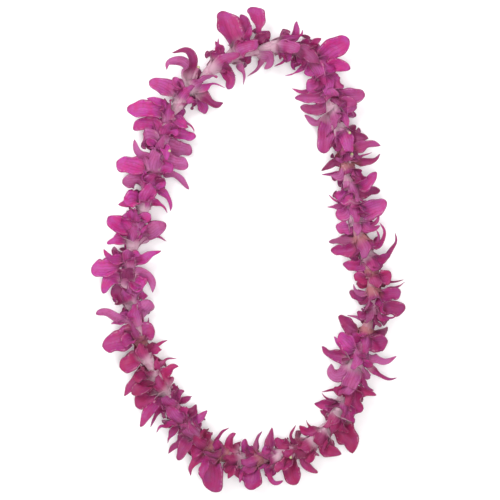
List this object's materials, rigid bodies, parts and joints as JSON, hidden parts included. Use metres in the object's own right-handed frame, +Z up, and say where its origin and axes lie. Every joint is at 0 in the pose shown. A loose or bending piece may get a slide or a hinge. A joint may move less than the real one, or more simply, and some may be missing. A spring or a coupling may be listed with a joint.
{
  "type": "fresh flower lei",
  "caption": "Single-strand flower lei: magenta orchid blossoms strung nose to tail on a knotted cotton thread, in a soft oval loop that lies flat or hangs round the neck.",
  "frame": {"origin": "centre of the lei's outline, on the surface that it lies on", "axes": "+Z up, away from the surface; +Y along the loop's length, towards the end with the tighter bend; +X across the loop. Seen from above, the blossoms open clockwise"},
  "size_m": [0.2973, 0.4581, 0.0402],
  "materials": {
    "orchid_petal": "soft satin petals, magenta to pale pink",
    "cotton_thread": "matt twisted cotton"
  },
  "bodies": {
    "root": {"blossom_01": "orchid_petal", "blossom_02": "orchid_petal", "blossom_03": "orchid_petal", "blossom_04": "orchid_petal", "blossom_05": "orchid_petal", "blossom_06": "orchid_petal", "blossom_07": "orchid_petal", "blossom_08": "orchid_petal", "blossom_09": "orchid_petal", "blossom_10": "orchid_petal", "blossom_11": "orchid_petal", "blossom_12": "orchid_petal", "blossom_13": "orchid_petal", "blossom_14": "orchid_petal", "blossom_15": "orchid_petal", "blossom_16": "orchid_petal", "blossom_17": "orchid_petal", "blossom_18": "orchid_petal", "blossom_19": "orchid_petal", "blossom_20": "orchid_petal", "blossom_21": "orchid_petal", "blossom_22": "orchid_petal", "blossom_23": "orchid_petal", "blossom_24": "orchid_petal", "blossom_25": "orchid_petal", "blossom_26": "orchid_petal", "blossom_27": "orchid_petal", "blossom_28": "orchid_petal", "blossom_29": "orchid_petal", "blossom_30": "orchid_petal", "blossom_31": "orchid_petal", "blossom_32": "orchid_petal", "blossom_33": "orchid_petal", "blossom_34": "orchid_petal", "blossom_35": "orchid_petal", "blossom_36": "orchid_petal", "blossom_37": "orchid_petal", "blossom_38": "orchid_petal", "blossom_39": "orchid_petal", "blossom_40": "orchid_petal", "blossom_41": "orchid_petal", "blossom_42": "orchid_petal", "blossom_43": "orchid_petal", "blossom_44": "orchid_petal", "blossom_45": "orchid_petal", "blossom_46": "orchid_petal", "blossom_47": "orchid_petal", "blossom_48": "orchid_petal", "blossom_49": "orchid_petal", "blossom_50": "orchid_petal", "blossom_51": "orchid_petal", "blossom_52": "orchid_petal", "blossom_53": "orchid_petal", "blossom_54": "orchid_petal", "blossom_55": "orchid_petal", "thread": "cotton_thread", "thread_knot": "cotton_thread"}
  },
  "joints": []
}
